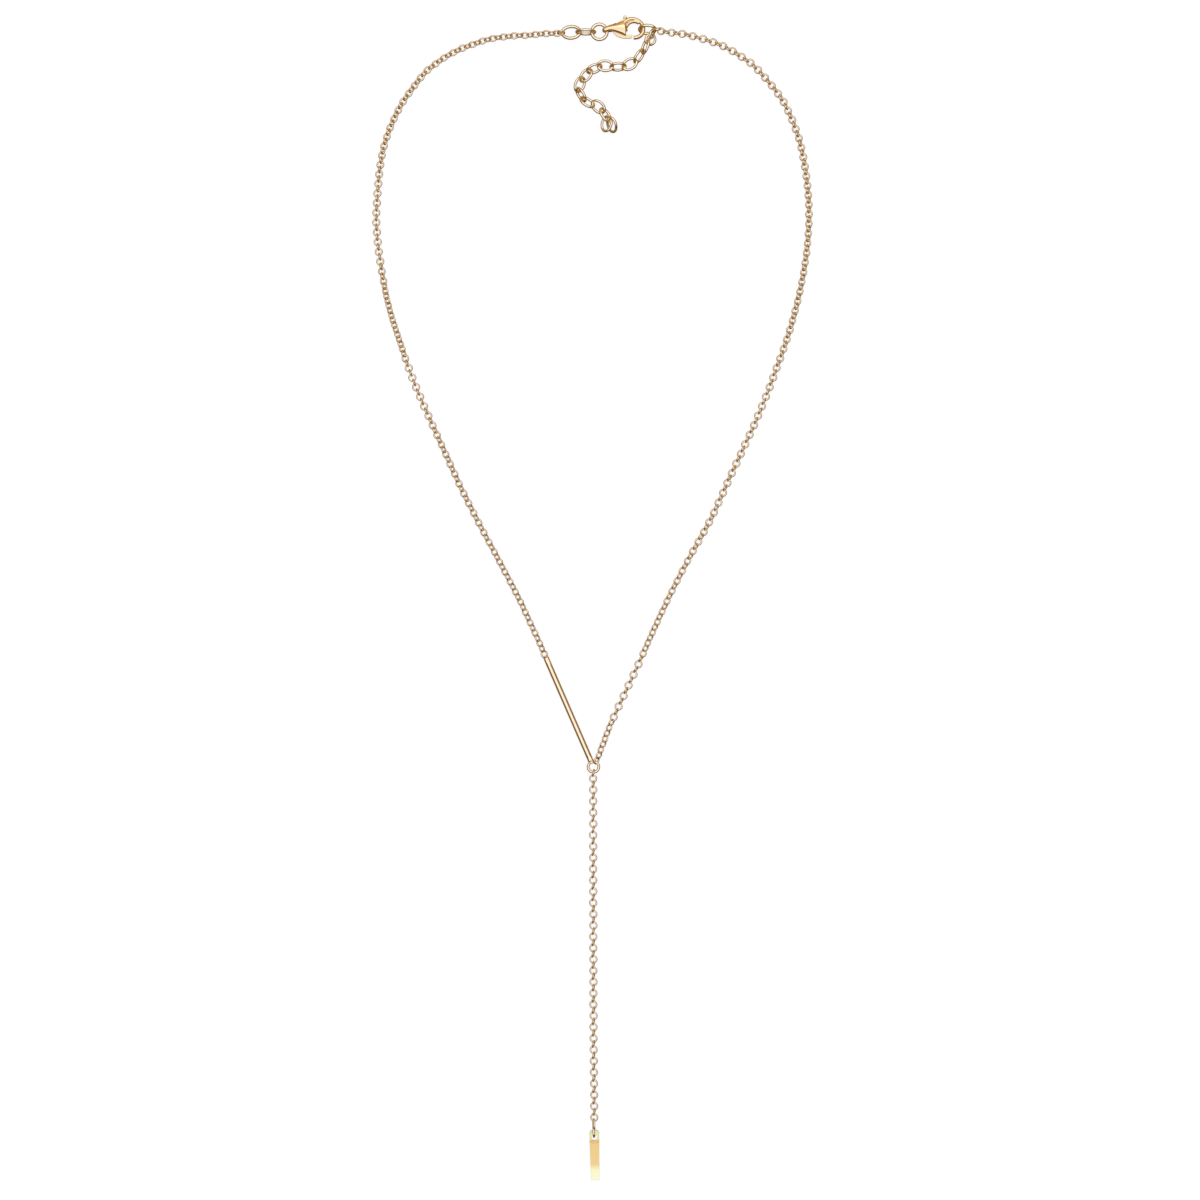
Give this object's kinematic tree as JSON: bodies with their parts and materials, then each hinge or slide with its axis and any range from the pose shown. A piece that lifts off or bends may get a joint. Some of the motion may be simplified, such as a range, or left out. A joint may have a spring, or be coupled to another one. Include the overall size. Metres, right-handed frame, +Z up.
{
  "type": "y necklace",
  "caption": "Fine rolo chain y necklace lying clasped, with a round bar on one branch, a drop chain ending in a flat bar tag, lobster clasp and extension chain.",
  "frame": {"origin": "on the surface it lies on, under the middle of its overall box", "axes": "+Z up off the surface, +Y from the tag towards the clasp, +X to the right as seen from above with the clasp at the top"},
  "size_m": [0.1066, 0.2822, 0.0032],
  "materials": {
    "gold": "polished yellow gold plating",
    "pale_gold": "polished pale yellow gold plating",
    "satin_gold": "satin yellow gold plating"
  },
  "bodies": {
    "necklace": {"chain_left": "gold", "chain_right": "gold", "drop_chain": "gold", "bar": "gold", "y_ring": "gold", "left_start_link": "gold", "left_end_link": "gold", "right_start_link": "gold", "right_end_link": "gold", "left_link_1": "pale_gold", "left_link_2": "pale_gold", "jump_ring": "pale_gold", "hooked_link": "pale_gold", "extension_link_01": "pale_gold", "extension_link_02": "pale_gold", "extension_link_03": "pale_gold", "extension_link_04": "pale_gold", "extension_link_05": "pale_gold", "extension_link_06": "pale_gold", "extension_link_07": "pale_gold", "extension_link_08": "pale_gold", "extension_link_09": "pale_gold", "extension_link_10": "pale_gold", "extension_link_11": "pale_gold", "extension_link_12": "pale_gold", "extension_link_13": "pale_gold", "extension_link_14": "pale_gold", "extension_link_15": "pale_gold", "extension_link_16": "pale_gold", "drop_ring_a": "pale_gold", "drop_ring_b": "pale_gold", "tag": "satin_gold", "clasp_body": "satin_gold"},
    "lever": {"clasp_lever": "satin_gold"}
  },
  "joints": [
    {"name": "clasp_gate", "type": "hinge", "parent": "necklace", "child": "lever", "pos_m": [0.00682, 0.137, 0.00115], "axis": [0, 0, 1], "range_deg": [0, 22], "stiffness_Nm_per_rad": 0.008}
  ]
}
